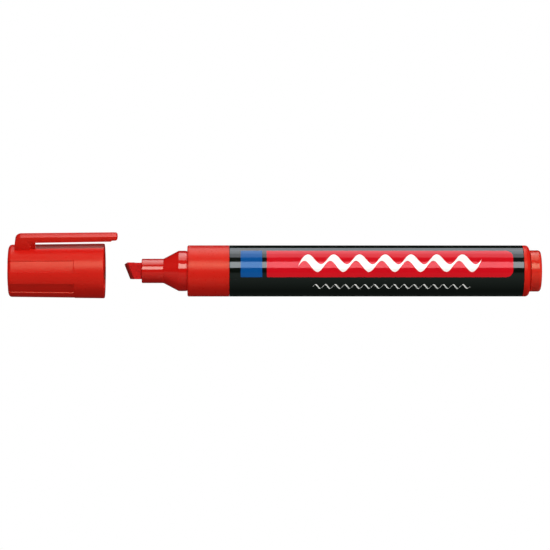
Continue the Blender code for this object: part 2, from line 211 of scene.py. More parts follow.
def turned_mesh(name, outline, closed=True):
    """A piece of revolution about the pen's axis. An open outline starts and ends on the axis."""
    shape = bmesh.new()
    rings = []
    for x, radius in rounded(outline, closed):
        if radius < ON_AXIS:
            rings.append([shape.verts.new((x, 0.0, AXIS_Z))])
            continue
        angles = [2 * math.pi * i / SIDES for i in range(SIDES)]
        rings.append([shape.verts.new(around(x, radius, angle)) for angle in angles])
    skin_rings(shape, rings, closed)
    return mesh_from(shape, name)


def turned(name, outline, material, closed=True):
    """A finished piece of revolution."""
    piece = add_piece(name, turned_mesh(name, outline, closed), material)
    keep_flats_flat(piece)
    return piece


def prism(outline, low_y, high_y):
    """A flat outline of (x, z) points drawn out along Y, as a bmesh."""
    shape = bmesh.new()
    low = [shape.verts.new((x, low_y, z)) for x, z in outline]
    high = [shape.verts.new((x, high_y, z)) for x, z in outline]
    shape.faces.new(low)
    shape.faces.new(list(reversed(high)))
    for i in range(len(outline)):
        j = (i + 1) % len(outline)
        shape.faces.new((low[i], high[i], high[j], low[j]))
    return shape


def baked(obj):
    """The object's mesh with its modifiers applied; the object itself is removed."""
    depsgraph = bpy.context.evaluated_depsgraph_get()
    mesh = bpy.data.meshes.new_from_object(obj.evaluated_get(depsgraph))
    bpy.data.objects.remove(obj)
    return mesh


def loose_object(name, mesh):
    """A working object that holds a mesh while its modifiers are applied."""
    obj = bpy.data.objects.new(name, mesh)
    bpy.context.scene.collection.objects.link(obj)
    return obj


def boolean(mesh, operation, other):
    """One mesh joined with, cut by, or kept inside another."""
    base = loose_object("boolean_base", mesh)
    tool = loose_object("boolean_tool", other)
    modifier = base.modifiers.new("boolean", "BOOLEAN")
    modifier.operation = operation
    modifier.object = tool
    result = baked(base)
    bpy.data.objects.remove(tool)
    return result


def smoothstep(low, high, value):
    """0 up to low, 1 from high on, and a smooth rise between them."""
    t = min(1.0, max(0.0, (value - low) / (high - low)))
    return t * t * (3 - 2 * t)


# --- material helpers ---------------------------------------------------------------------------
class Material:
    """A node material around one Principled shader, textured in the row frame's own coordinates."""

    def __init__(self, name):
        self.material = bpy.data.materials.new(name)
        self.material.use_nodes = True
        self.nodes = self.material.node_tree.nodes
        self.links = self.material.node_tree.links
        self.shader = self.nodes["Principled BSDF"]
        self.coordinates = self.nodes.new("ShaderNodeTexCoord").outputs["Object"]
        self.normal = None

    def set(self, **sockets):
        """Sets the shader's sockets, whose names have spaces for the underscores."""
        for name, value in sockets.items():
            self.shader.inputs[name.replace("_", " ")].default_value = value

    def stretched(self, scale):
        """The coordinates scaled differently along each axis, for streaks and fibres."""
        mapping = self.nodes.new("ShaderNodeMapping")
        mapping.inputs["Scale"].default_value = scale
        self.links.new(self.coordinates, mapping.inputs["Vector"])
        return mapping.outputs["Vector"]

    def noise(self, size, detail=2.0, vector=None):
        """Cloudy noise whose blotches are about as wide as size."""
        texture = self.nodes.new("ShaderNodeTexNoise")
        texture.inputs["Scale"].default_value = 1.0 / size
        texture.inputs["Detail"].default_value = detail
        texture.inputs["Roughness"].default_value = 0.5
        self.links.new(vector or self.coordinates, texture.inputs["Vector"])
        return texture.outputs["Fac"]

    def spots(self, size):
        """Small cells, each as wide as size, for a pebbled grain."""
        texture = self.nodes.new("ShaderNodeTexVoronoi")
        texture.inputs["Scale"].default_value = 1.0 / size
        self.links.new(self.coordinates, texture.inputs["Vector"])
        return texture.outputs["Distance"]

    def depth_behind(self, point, outward, noise_size, noise_depth):
        """How far behind a plane each spot lies, in metres, with a cloudy unevenness."""
        dot = self.nodes.new("ShaderNodeVectorMath")
        dot.operation = "DOT_PRODUCT"
        dot.inputs[1].default_value = -outward
        self.links.new(self.coordinates, dot.inputs[0])
        uneven = self.spread(self.noise(noise_size, detail=3), -noise_depth, noise_depth)
        total = self.nodes.new("ShaderNodeMath")
        total.operation = "ADD"
        self.links.new(dot.outputs["Value"], total.inputs[0])
        self.links.new(uneven, total.inputs[1])
        return total.outputs["Value"], -outward.dot(point)

    def spread(self, value, low, high, from_low=0.3, from_high=0.7):
        """Spreads a value, by default the part of its range that noise fills, over low to high."""
        mapped = self.nodes.new("ShaderNodeMapRange")
        mapped.inputs["From Min"].default_value = from_low
        mapped.inputs["From Max"].default_value = from_high
        mapped.inputs["To Min"].default_value = low
        mapped.inputs["To Max"].default_value = high
        self.links.new(value, mapped.inputs["Value"])
        return mapped.outputs["Result"]

    def blend_colours(self, factor, first, second):
        """Mixes two colours, or a colour and a colour output, by a factor output."""
        mix = self.nodes.new("ShaderNodeMix")
        mix.data_type = "RGBA"
        self.links.new(factor, mix.inputs["Factor"])
        for socket, colour in ((mix.inputs[6], first), (mix.inputs[7], second)):
            if isinstance(colour, tuple):
                socket.default_value = (*colour, 1.0)
            else:
                self.links.new(colour, socket)
        return mix.outputs[2]

    def colour(self, output):
        self.links.new(output, self.shader.inputs["Base Color"])

    def roughness(self, output):
        self.links.new(output, self.shader.inputs["Roughness"])

    def bump(self, height, distance):
        """Adds one layer of relief, distance deep, on top of the layers added before."""
        node = self.nodes.new("ShaderNodeBump")
        node.inputs["Distance"].default_value = distance
        node.inputs["Strength"].default_value = 1.0
        self.links.new(height, node.inputs["Height"])
        if self.normal:
            self.links.new(self.normal, node.inputs["Normal"])
        self.normal = node.outputs["Normal"]
        self.links.new(self.normal, self.shader.inputs["Normal"])


def shade(colour, factor):
    """A darker or lighter tone of a colour."""
    return tuple(channel * factor for channel in colour)


def grained_plastic(name, colour, rough_low, rough_high, grain=0.028 * MM):
    """A spark-eroded mould surface: pebbled grain, cloudy gloss and slightly uneven colour."""
    material = Material(name)
    clouds = material.noise(5 * MM, detail=3)
    material.colour(material.blend_colours(clouds, shade(colour, 0.94), shade(colour, 1.06)))
    material.roughness(material.spread(material.noise(0.6 * MM, detail=3), rough_low, rough_high))
    material.bump(material.noise(0.4 * MM, detail=2), grain)
    material.bump(material.spots(0.16 * MM), grain * 0.25)
    material.set(IOR=1.5, Specular_IOR_Level=0.23, Specular_Tint=(*WARM_GLINT, 1.0))
    return material.material


def glossy_plastic(name, colour, rough_low, rough_high, **sockets):
    """A polished moulding: clear highlights whose edges waver a little."""
    material = Material(name)
    clouds = material.noise(6 * MM, detail=2)
    material.colour(material.blend_colours(clouds, shade(colour, 0.96), shade(colour, 1.04)))
    material.roughness(material.spread(material.noise(1.5 * MM), rough_low, rough_high))
    material.bump(material.noise(1.8 * MM, detail=1), 0.0002 * MM)
    material.set(IOR=1.5, **sockets)
    return material.material


def lacquer(name, colour, glint=(1.0, 1.0, 1.0)):
    """Baked lacquer or printing ink on the drawn tube: glossy, with faint lengthwise draw marks."""
    material = Material(name)
    clouds = material.noise(9 * MM, detail=2)
    material.colour(material.blend_colours(clouds, shade(colour, 0.9), shade(colour, 1.1)))
    material.roughness(material.spread(material.noise(0.7 * MM, detail=3), 0.05, 0.1))
    streaks = material.noise(0.9 * MM, vector=material.stretched((0.04, 1.0, 1.0)))
    material.bump(streaks, 0.0008 * MM)
    material.set(IOR=1.5, Specular_Tint=(*glint, 1.0))
    return material.material


# --- colours ------------------------------------------------------------------------------------
CAP_RED = (0.64, 0.01, 0.006)
COLLAR_RED = (0.64, 0.01, 0.006)
NOZZLE_RED = (0.62, 0.005, 0.003)
PLUG_RED = (0.66, 0.024, 0.014)
WARM_GLINT = (1.0, 0.97, 0.61)   # tint of the red mouldings' highlights
NOZZLE_GLINT = (1.0, 0.98, 0.82)
PANEL_RED = (0.62, 0.004, 0.011)
BLOCK_BLUE = (0.003, 0.073, 0.28)
LACQUER_BLACK = (0.001, 0.002, 0.0007)
PRINT_WHITE = (0.95, 0.9, 0.87)


# --- cap ----------------------------------------------------------------------------------------
def flute_depth(angle):
    """How deep the cap is cut at an angle counted from the clip: low floors between steep walls."""
    pitch = 2 * math.pi / FLUTE_PLACES
    place = round(angle / pitch)
    if place % FLUTE_PLACES == 0:
        return 0.0
    offset = abs(angle - place * pitch)
    radius = CAP_END_RADIUS + 0.1 * MM    # halfway along the flutes
    flat_floor = radius * (1.0 - math.cos(FLUTE_ANGLE / 2) / math.cos(offset))
    depth = FLUTE_EDGE_DEPTH + FLUTE_FLATNESS * flat_floor
    wall = FLUTE_WALL_ANGLE / 2
    return depth * (1.0 - smoothstep(FLUTE_ANGLE / 2 - wall, FLUTE_ANGLE / 2 + wall, offset))


def cap_angles():
    """Angles from the clip, close together across each flute's walls."""
    angles = {2 * math.pi * i / SIDES for i in range(SIDES)}
    close_steps = [-1.3, -0.8, -0.5, -0.25, 0.0, 0.25, 0.5, 0.8, 1.3]
    cleared = 1.8 * DEG
    for place in range(1, FLUTE_PLACES):
        for side in (-1, 1):
            edge = place * 2 * math.pi / FLUTE_PLACES + side * FLUTE_ANGLE / 2
            angles = {angle for angle in angles if abs(angle - edge) > cleared}
            angles |= {edge + step * DEG for step in close_steps}
    return sorted(angles)


def make_cap(material):
    """The cap's shell, from its bore over the rim to the closed end, with the flutes pressed in."""
    end_corner_start = CAP_END_RADIUS - CAP_CORNER
    end_edge = 0.12 * MM                  # the flutes fade out this far inside the end's corner
    taper = (CAP_RIM_RADIUS - CAP_END_RADIUS) / (CAP_RIM_X - CAP_END_X)
    flute_end_x = CAP_END_X + FLUTE_LENGTH
    flute_end_radius = CAP_END_RADIUS + taper * FLUTE_LENGTH
    wall = FLUTE_END_WALL
    outline = [
        (CAP_END_X + CAP_END_WALL, 0.0, 0),
        (CAP_END_X + CAP_END_WALL, CAP_BORE_RADIUS, 0.5 * MM),
        (CAP_RIM_X, CAP_BORE_RADIUS, 0.35 * MM),
        (CAP_RIM_X, CAP_RIM_RADIUS, 0.3 * MM),
        (flute_end_x + wall, flute_end_radius + taper * wall, 0),
        (flute_end_x + 0.3 * wall, flute_end_radius + 0.3 * taper * wall, 0),
        (flute_end_x - 0.3 * wall, flute_end_radius - 0.3 * taper * wall, 0),
        (flute_end_x - wall, flute_end_radius - taper * wall, 0),
        (CAP_END_X, CAP_END_RADIUS, CAP_CORNER),
        (CAP_END_X, end_corner_start - end_edge / 2, 0),
        (CAP_END_X, end_corner_start - end_edge, 0),
        (CAP_END_X, 0.0, 0),
    ]
    points = rounded(outline)
    first_outer = next(i for i, p in enumerate(points) if p.y > CAP_BORE_RADIUS + 1.0 * MM)
    angles = cap_angles()
    shape = bmesh.new()
    rings = []
    for i, point in enumerate(points):
        if point.y < ON_AXIS:
            rings.append([shape.verts.new((point.x, 0.0, AXIS_Z))])
            continue
        inward = Vector((0.0, 0.0))
        if i > first_outer:
            along = (points[min(i + 1, len(points) - 1)] - points[i - 1]).normalized()
            inward = Vector((-along.y, along.x))
            inward *= -1 if inward.y > 0 or inward.x < 0 else 1
            reach = 1.0 - smoothstep(flute_end_x - wall, flute_end_x + wall, point.x)
            reach *= smoothstep(end_corner_start - end_edge, end_corner_start, point.y)
            inward *= reach
        ring = []
        for angle in angles:
            place = point + inward * flute_depth(angle)
            ring.append(shape.verts.new(around(place.x, place.y, angle + 90 * DEG)))
        rings.append(ring)
    skin_rings(shape, rings, closed=False)
    cap = add_piece("cap_moulding", mesh_from(shape, "cap_moulding"), material, 40)
    keep_flats_flat(cap)
    return cap


def make_clip(material):
    """Post, web and arm in one moulding."""
    tip = clip_high.z
    tip_x = clip_high.x
    foot = AXIS_Z + CAP_BORE_RADIUS + 0.9 * MM
    root = AXIS_Z + CLIP_ROOT_HEIGHT
    root_under = AXIS_Z + CLIP_ROOT_UNDERSIDE
    nose_x = CAP_END_X + CLIP_NOSE_START
    side = [
        (CAP_END_X + POST_FOOT, foot, 0),
        (CAP_END_X + POST_END, foot, 0),
        (CAP_END_X + POST_END, root_under, 0.4 * MM),
        (nose_x, AXIS_Z + CLIP_TIP_UNDERSIDE, 0.3 * MM),
        (nose_x + 0.5 * MM, AXIS_Z + CLIP_NOSE_UNDERSIDE, 0.25 * MM),
        (tip_x, AXIS_Z + CLIP_NOSE_UNDERSIDE, 0.5 * MM),
        (tip_x, tip, 0.45 * MM),
        (CAP_END_X + POST_TOP, root, 1.9 * MM),
    ]
    half = CLIP_WIDTH / 2
    plan = [
        (CAP_END_X + 1.0 * MM, -half, 0.2 * MM),
        (tip_x, -half, 0.9 * MM),
        (tip_x, half, 0.9 * MM),
        (CAP_END_X + 1.0 * MM, half, 0.2 * MM),
    ]
    body = prism(rounded(side, closed=True), -2 * half, 2 * half)
    top_view = prism(rounded(plan, closed=True), AXIS_Z, tip + 1 * MM)
    upright = Matrix.Rotation(math.radians(90), 3, "X")
    bmesh.ops.rotate(top_view, cent=(0, 0, 0), matrix=upright, verts=top_view.verts)
    arm_mesh = boolean(mesh_from(body, "side"), "INTERSECT", mesh_from(top_view, "plan"))
    web_start = CAP_END_X + POST_END - 0.6 * MM
    web_end = CAP_END_X + POST_WEB_END
    web_top = root_under + 0.4 * MM
    web_side = [(web_start, foot), (web_end, foot), (web_end, web_top), (web_start, web_top)]
    web = prism(web_side, -POST_WEB_WIDTH / 2, POST_WEB_WIDTH / 2)
    joined = boolean(arm_mesh, "UNION", mesh_from(web, "web"))
    clip = add_piece("clip_moulding", joined, material)
    bevel = clip.modifiers.new("soft_edges", "BEVEL")
    bevel.width = 0.24 * MM
    bevel.segments = 3
    bevel.limit_method = "ANGLE"
    bevel.angle_limit = 40 * DEG
    keep_flats_flat(clip)
    finished = baked(clip)
    return add_piece("clip_moulding", finished, material)


def make_seal(material):
    """The sealing cup inside the cap, with a flange at its closed end."""
    bore = 3.95 * MM
    wall = 1.0 * MM
    floor_x = seal_low.x + 1.1 * MM
    outline = [
        (floor_x, 0.0, 0),
        (floor_x, bore, 0.3 * MM),
        (seal_high.x, bore, 0.3 * MM),
        (seal_high.x, bore + wall, 0.3 * MM),
        (floor_x, bore + wall, 0.4 * MM),
        (floor_x, seal_high.y, 0.2 * MM),
        (seal_low.x, seal_high.y, 0.2 * MM),
        (seal_low.x, 0.0, 0),
    ]
    return turned("seal_cup", outline, material, closed=False)


# --- front end ----------------------------------------------------------------------------------
def cut_plane(shape, point, outward):
    """Cuts away what lies on the outward side of a plane and closes the cut."""
    geometry = shape.verts[:] + shape.edges[:] + shape.faces[:]
    result = bmesh.ops.bisect_plane(
        shape, geom=geometry, plane_co=point, plane_no=outward, clear_outer=True
    )
    edges = [item for item in result["geom_cut"] if isinstance(item, bmesh.types.BMEdge)]
    bmesh.ops.contextual_create(shape, geom=edges)


def make_nib(material):
    """The felt nib: a bar cut on a slant and chiselled, then swollen and frayed a little."""
    length = nib_high.x - nib_low.x
    half_width = NIB_WIDTH / 2
    half_thickness = NIB_THICKNESS / 2
    head_length = 9.0 * MM
    cut_off = 0.3 * MM                    # of the bar in front of the tip
    rounding = 0.12 * MM                  # that smoothing takes off the tip
    shape = bmesh.new()
    size = Matrix.Diagonal((head_length, NIB_THICKNESS, NIB_WIDTH, 1.0))
    middle = Matrix.Translation((head_length / 2 - cut_off, 0, 0))
    bmesh.ops.create_cube(shape, size=1.0, matrix=middle @ size)
    tip = Vector((-rounding, 0.0, NIB_TIP_HEIGHT))
    lean = Matrix.Rotation(-NIB_SLANT, 3, "Y")
    cut_plane(shape, tip, lean @ Vector((-1, 0, 0)))
    facet = math.atan2(half_thickness - NIB_EDGE_THICKNESS / 2, NIB_WEDGE)
    for side in (-1, 1):
        outward = lean @ Vector((-math.sin(facet), side * math.cos(facet), 0))
        cut_plane(shape, tip + Vector((0, side * NIB_EDGE_THICKNESS / 2, 0)), outward)
    top_outward = Matrix.Rotation(-NIB_TOP_BEVEL, 3, "Y") @ Vector((0, 0, 1))
    cut_plane(shape, tip, top_outward)
    for side in (-1, 1):
        edge = Vector((0, side * half_thickness, half_width - NIB_WORN_EDGE))
        cut_plane(shape, edge, Vector((0, side, 1)).normalized())
    head = loose_object("nib_head", mesh_from(shape, "nib_head"))
    remesh = head.modifiers.new("fine", "REMESH")
    remesh.mode = "VOXEL"
    remesh.voxel_size = 0.075 * MM
    smooth = head.modifiers.new("soft_edges", "SMOOTH")
    smooth.iterations = 6
    smooth.factor = 0.5
    mesh = baked(head)
    fray(mesh, half_width)
    head_piece = add_piece("nib_felt_head", mesh, material, 180)
    stem = bmesh.new()
    start = head_length - 0.2 * MM
    narrowed = 0.97                       # the stem is a little slimmer than the swollen head
    size = Matrix.Diagonal((length - start, NIB_THICKNESS, NIB_WIDTH, 1.0))
    middle = Matrix.Translation(((start + length) / 2, 0, 0))
    bmesh.ops.create_cube(stem, size=narrowed, matrix=middle @ size)
    stem_piece = add_piece("nib_felt_stem", mesh_from(stem, "nib_felt_stem"), material)
    bevel = stem_piece.modifiers.new("soft_edges", "BEVEL")
    bevel.width = 0.3 * MM
    bevel.segments = 3
    turn = Matrix.Translation((nib_low.x, 0.0, AXIS_Z)) @ Matrix.Rotation(NIB_TURN, 4, "X")
    for piece in (head_piece, stem_piece):
        piece.data.transform(turn)
    return head_piece, stem_piece


def fray(mesh, half_width):
    """Swells the felt's written-in end and gives it fibres along its length."""
    fibre_length = 0.9 * MM
    fibre_width = 0.22 * MM
    fibre_height = 0.028 * MM
    lump_size = 0.8 * MM
    lump_height = 0.03 * MM
    lump_offset = Vector((7.1, 3.3, 1.7))
    swelling = 0.1 * MM
    swollen_to = (2.7 * MM, 3.1 * MM)     # where the swelling fades out behind the tip
    normals = [vertex.normal.copy() for vertex in mesh.vertices]
    for vertex, normal in zip(mesh.vertices, normals):
        x, y, z = vertex.co
        fibre = noise.noise(Vector((x / fibre_length, y / fibre_width, z / fibre_width)))
        lump = noise.noise(Vector((x, y, z)) / lump_size + lump_offset)
        near_tip = 1 - smoothstep(*swollen_to, x)
        near_top = smoothstep(0.5, 1.0, z / half_width)
        vertex.co += normal * (fibre_height * fibre + lump_height * lump)
        vertex.co.z += swelling * near_tip * near_top


def make_nozzle(material):
    """Tip cylinder, cone and base cylinder, with a groove at the collar and a slot for the nib."""
    cone_x = NOZZLE_FRONT_X + TIP_LENGTH
    base_x = SHOULDER_X - BASE_LENGTH
    groove = 0.3 * MM
    groove_depth = 0.1 * MM
    face = 5.0 * MM                       # thickness of the tip in front of the bore
    bore = 3.3 * MM
    outline = [
        (NOZZLE_FRONT_X + face, 0.0, 0),
        (NOZZLE_FRONT_X + face, bore, 0),
        (nozzle_high.x, bore, 0),
        (nozzle_high.x, BASE_RADIUS, 0.3 * MM),
        (SHOULDER_X - 0.02 * MM, BASE_RADIUS, 0),
        (SHOULDER_X - groove_depth, BASE_RADIUS - groove_depth, 0.05 * MM),
        (SHOULDER_X - groove, BASE_RADIUS - groove_depth, 0.05 * MM),
        (SHOULDER_X - groove - groove_depth, BASE_RADIUS, 0.05 * MM),
        (base_x, BASE_RADIUS, 0.25 * MM),
        (cone_x, TIP_RADIUS, 0.25 * MM),
        (NOZZLE_FRONT_X, TIP_RADIUS, 0.25 * MM),
        (NOZZLE_FRONT_X, 0.0, 0),
    ]
    mesh = turned_mesh("nozzle_moulding", outline, closed=False)
    gap = 0.1 * MM
    half_width = NIB_WIDTH / 2 + gap
    half_thickness = NIB_THICKNESS / 2 + gap
    corner = 0.35 * MM
    section = [
        (-half_thickness, -half_width, corner),
        (half_thickness, -half_width, corner),
        (half_thickness, half_width, corner),
        (-half_thickness, half_width, corner),
    ]
    slot = prism(rounded(section, closed=True), 0.0, face + 1 * MM)
    # the section is drawn in X and Z along Y; this lays it along X, its broad side along the nib's
    slot_turn = Matrix.Rotation(NIB_TURN, 4, "X") @ Matrix.Rotation(math.radians(-90), 4, "Z")
    slot.transform(Matrix.Translation((NOZZLE_FRONT_X - 0.5 * MM, 0.0, AXIS_Z)) @ slot_turn)
    mesh = boolean(mesh, "DIFFERENCE", mesh_from(slot, "slot"))
    nozzle = add_piece("nozzle_moulding", mesh, material)
    keep_flats_flat(nozzle)
    return nozzle


def make_collar(material):
    """The grip ring: as thick as the barrel, with a spigot inside it."""
    rear_x = BARREL_FRONT_X - TIGHT_SEAM
    seat_x = nozzle_high.x + 0.1 * MM     # the nozzle's base lies in the bore up to here
    mouth = BASE_RADIUS + 0.06 * MM
    outline = [
        (collar_high.x, SPIGOT_RADIUS, 0.25 * MM),
        (rear_x, SPIGOT_RADIUS, 0),
        (rear_x, BARREL_RADIUS, 0.05 * MM),
        (SHOULDER_X, BARREL_RADIUS, 0.45 * MM),
        (SHOULDER_X, mouth, 0.08 * MM),
        (seat_x, mouth, 0),
        (seat_x, COLLAR_BORE_RADIUS, 0),
        (collar_high.x, COLLAR_BORE_RADIUS, 0),
    ]
    return turned("collar_moulding", outline, material)


# --- barrel, its printing, and the rear end -----------------------------------------------------
def make_barrel(material):
    """The drawn tube."""
    inner = BARREL_RADIUS - 0.4 * MM
    outline = [
        (BARREL_REAR_X - TIGHT_SEAM, BARREL_RADIUS, 0.1 * MM),
        (BARREL_FRONT_X + TIGHT_SEAM, BARREL_RADIUS, 0.1 * MM),
        (BARREL_FRONT_X + TIGHT_SEAM, inner, 0.05 * MM),
        (BARREL_REAR_X - TIGHT_SEAM, inner, 0.05 * MM),
    ]
    return turned("barrel_tube", outline, material)


PRINT_RISE = 0.012 * MM          # the printed ink stands this proud of the lacquer
PRINT_SINK = 0.01 * MM           # and its underside lies this far inside it


def printed(name, columns, material, rows=40, rise=PRINT_RISE):
    """A skin of ink on the barrel. A column is its two end points, each (x, distance round)."""
    shape = bmesh.new()
    layers = []
    for radius in (BARREL_RADIUS + rise, BARREL_RADIUS - PRINT_SINK):
        grid = []
        for start, end in columns:
            line = []
            for row in range(rows + 1):
                share = row / rows
                x = start[0] + (end[0] - start[0]) * share
                turn = start[1] + (end[1] - start[1]) * share
                line.append(shape.verts.new(around(x, radius, turn / BARREL_RADIUS)))
            grid.append(line)
        layers.append(grid)
    for grid in layers:
        for line, following in zip(grid, grid[1:]):
            for row in range(rows):
                shape.faces.new((line[row], line[row + 1], following[row + 1], following[row]))
    rims = []
    for grid in layers:
        rim = [line[0] for line in grid] + grid[-1][1:]
        rim += [line[-1] for line in reversed(grid[:-1])] + list(reversed(grid[0][1:-1]))
        rims.append(rim)
    skin_closed_strip(shape, rims[0], rims[1])
    return add_piece(name, mesh_from(shape, name), material)


def skin_closed_strip(shape, first, second):
    """Joins two closed rims of as many vertices."""
    for i in range(len(first)):
        j = (i + 1) % len(first)
        shape.faces.new((first[i], first[j], second[j], second[i]))


def panel_columns(low_x, high_x, low_turn, high_turn, corner):
    """Columns of a rectangle whose corners at its +X end are rounded."""
    flat_end = high_x - corner
    steps = 60
    corner_steps = 16
    stations = [low_x + (flat_end - low_x) * i / steps for i in range(steps + 1)]
    if corner > 0:
        angles = [90 * DEG * i / corner_steps for i in range(1, corner_steps + 1)]
        stations += [flat_end + corner * math.sin(angle) for angle in angles]
    columns = []
    for x in stations:
        along = max(0.0, x - flat_end)
        drop = corner - math.sqrt(max(0.0, corner ** 2 - along ** 2)) if corner > 0 else 0.0
        columns.append(((x, low_turn + drop), (x, high_turn - drop)))
    return columns


def wave_columns(low_x, high_x, middle_turn, height, waves, nib):
    """Columns of a wave drawn with a broad nib held at a fixed slant."""
    steps = 40 * waves
    half_x, half_turn = nib[0] / 2, nib[1] / 2
    columns = []
    for i in range(steps + 1):
        share = i / steps
        x = low_x + (high_x - low_x) * share
        turn = middle_turn + height / 2 * math.sin(2 * math.pi * waves * share)
        columns.append(((x - half_x, turn - half_turn), (x + half_x, turn + half_turn)))
    return columns


def make_printing(red, blue, white):
    """A red panel, a plain blue block, a broad wave on the panel and a fine wavy line under it."""
    low_turn = 15.3 * DEG * BARREL_RADIUS
    high_turn = 81.2 * DEG * BARREL_RADIUS
    middle = (low_turn + high_turn) / 2
    line_turn = -8.0 * DEG * BARREL_RADIUS
    block_low = BARREL_FRONT_X + 3.43 * MM
    block_high = block_low + 6.5 * MM
    panel_low = block_high + 1.4 * MM
    panel_high = BARREL_REAR_X - 3.4 * MM
    panel_corner = 2.25 * MM
    wave_low, wave_high = panel_low + 10 * MM, panel_high - 10 * MM
    line_low, line_high = panel_low + 14 * MM, panel_high - 13 * MM
    block = panel_columns(block_low, block_high, low_turn, high_turn, 0.0)
    panel = panel_columns(panel_low, panel_high, low_turn, high_turn, panel_corner)
    wave = wave_columns(wave_low, wave_high, middle, 3.4 * MM, 7, (1.1 * MM, 2.3 * MM))
    line = wave_columns(line_low, line_high, line_turn, 1.5 * MM, 16, (0.3 * MM, 0.26 * MM))
    return [
        printed("print_block", block, blue),
        printed("print_panel", panel, red),
        printed("print_wave", wave, white, rows=12, rise=2 * PRINT_RISE),
        printed("print_line", line, white, rows=2),
    ]


def make_end_ring(material):
    """The ring that closes the barrel's rear end, with a spigot inside the barrel."""
    front_x = BARREL_REAR_X + TIGHT_SEAM
    outline = [
        (RING_REAR_X, BARREL_RADIUS, 1.15 * MM),
        (front_x, BARREL_RADIUS, 0.05 * MM),
        (front_x, SPIGOT_RADIUS, 0),
        (ring_low.x, SPIGOT_RADIUS, 0.25 * MM),
        (ring_low.x, RING_BORE_RADIUS, 0),
        (RING_REAR_X, RING_BORE_RADIUS, 0.1 * MM),
    ]
    return turned("ring_moulding", outline, material)


def make_end_plug(material):
    """The button behind the ring, with its neck in the ring's bore."""
    button_x = RING_REAR_X + 0.25 * MM
    outline = [
        (PLUG_REAR_X, 0.0, 0),
        (PLUG_REAR_X, plug_high.y, 0.8 * MM),
        (button_x, plug_high.y, 0.12 * MM),
        (button_x, PLUG_NECK_RADIUS, 0),
        (plug_low.x, PLUG_NECK_RADIUS, 0.3 * MM),
        (plug_low.x, 0.0, 0),
    ]
    return turned("plug_moulding", outline, material, closed=False)


# --- materials that only one piece has ----------------------------------------------------------
def felt_material():
    """Pressed felt full of red ink: fibres along the nib, and painted shade darkening the slanted
    facet behind the writing edge.
    """
    pale_red = (0.69, 0.014, 0.012)
    deep_red = (0.5, 0.008, 0.008)
    stain_red = (0.36, 0.007, 0.008)
    painted_shade_red = (0.26, 0.013, 0.01)
    painted_shade_reach = (0.55 * MM, 1.15 * MM)     # where the painted shade fades out behind the edge
    felt = Material("nib_felt")
    fibres = felt.noise(0.3 * MM, detail=4, vector=felt.stretched((0.35, 1.0, 1.0)))
    blotches = felt.noise(0.9 * MM, detail=3)
    red = felt.blend_colours(felt.spread(fibres, 0, 1), deep_red, pale_red)
    stained = felt.blend_colours(felt.spread(blotches, 0.0, 0.7, 0.54, 0.66), red, stain_red)
    turn = Matrix.Rotation(NIB_TURN, 3, "X")
    tip = Vector((nib_low.x, 0.0, AXIS_Z)) + turn @ Vector((0.0, 0.0, NIB_TIP_HEIGHT))
    outward = turn @ Matrix.Rotation(-NIB_SLANT, 3, "Y") @ Vector((-1, 0, 0))
    # painted shade: the slanted facet behind the writing edge is darkened in the base colour, where
    # shade falls on it
    depth, start = felt.depth_behind(tip, outward, 0.5 * MM, 0.25 * MM)
    unshaded = felt.spread(depth, 0.0, 1.0, start + painted_shade_reach[0], start + painted_shade_reach[1])
    felt.colour(felt.blend_colours(unshaded, painted_shade_red, stained))
    felt.roughness(felt.spread(fibres, 0.6, 0.9))
    felt.bump(fibres, 0.05 * MM)
    felt.set(IOR=1.4, Specular_IOR_Level=0.12)
    return felt.material


def fibre_material(name, colour):
    """Bundled fibre: fine lengthwise streaks."""
    fibre = Material(name)
    streaks = fibre.noise(0.25 * MM, detail=3, vector=fibre.stretched((0.05, 1.0, 1.0)))
    share = fibre.spread(streaks, 0, 1)
    fibre.colour(fibre.blend_colours(share, shade(colour, 0.6), shade(colour, 1.3)))
    fibre.bump(streaks, 0.05 * MM)
    fibre.set(Roughness=0.9)
    return fibre.material


# --- stage --------------------------------------------------------------------------------------
CAMERA_ELEVATION = 29.5 * DEG
CAMERA_DISTANCE = 859 * MM
CAMERA_ASIDE = -16.1 * MM        # of the pen's middle, towards the cap
AIM_DROP = 1.24 * MM             # how far under the pen's axis the camera aims
LENS = 184.3                     # focal length in millimetres, for a sensor 36 mm wide
TO_CAMERA = Vector((0.0, -math.cos(CAMERA_ELEVATION), math.sin(CAMERA_ELEVATION)))
IMAGE_UP = Vector((0.0, math.sin(CAMERA_ELEVATION), math.cos(CAMERA_ELEVATION)))


def facing(right, up, backward):
    """The rotation of a camera or light that has these three directions as its own axes."""
    return Matrix((right, up, backward)).transposed().to_euler()


def make_camera():
    """A long lens a little towards the cap from the pen's middle, turned back to aim at it."""
    camera_data = bpy.data.cameras.new("camera")
    camera_data.sensor_width = 36.0
    camera_data.lens = LENS
    camera_data.clip_end = 10.0
    camera = bpy.data.objects.new("camera", camera_data)
    bpy.context.scene.collection.objects.link(camera)
    bpy.context.scene.camera = camera
    target = Vector((0.0, 0.0, AXIS_Z)) - IMAGE_UP * AIM_DROP
    camera.location = target + TO_CAMERA * CAMERA_DISTANCE + Vector((CAMERA_ASIDE, 0, 0))
    view = target - camera.location
    right = view.cross(IMAGE_UP).normalized()
    up = right.cross(view).normalized()
    camera.rotation_euler = facing(right, up, -view.normalized())


WHITE_LIGHT = (1.0, 1.0, 1.0)
CLEAR_LIGHT = (0.89, 0.96, 1.0)
COOL_LIGHT = (0.86, 0.93, 1.0)
LIGHT_DISTANCE = 500 * MM        # from the pen's middle
SOFTBOX_HALF_LENGTH = 170 * MM   # along the pen
FILL_HALF_LENGTH = 50 * MM

# name, from and to angle above the camera's direction, radiance, colour
SOFTBOXES = [
    ("overhead_softbox", 63, 125, 2.85, COOL_LIGHT),
    ("overhead_core", 83, 110, 1.25, COOL_LIGHT),
    ("front_softbox", 14, 41, 7.6, CLEAR_LIGHT),
]
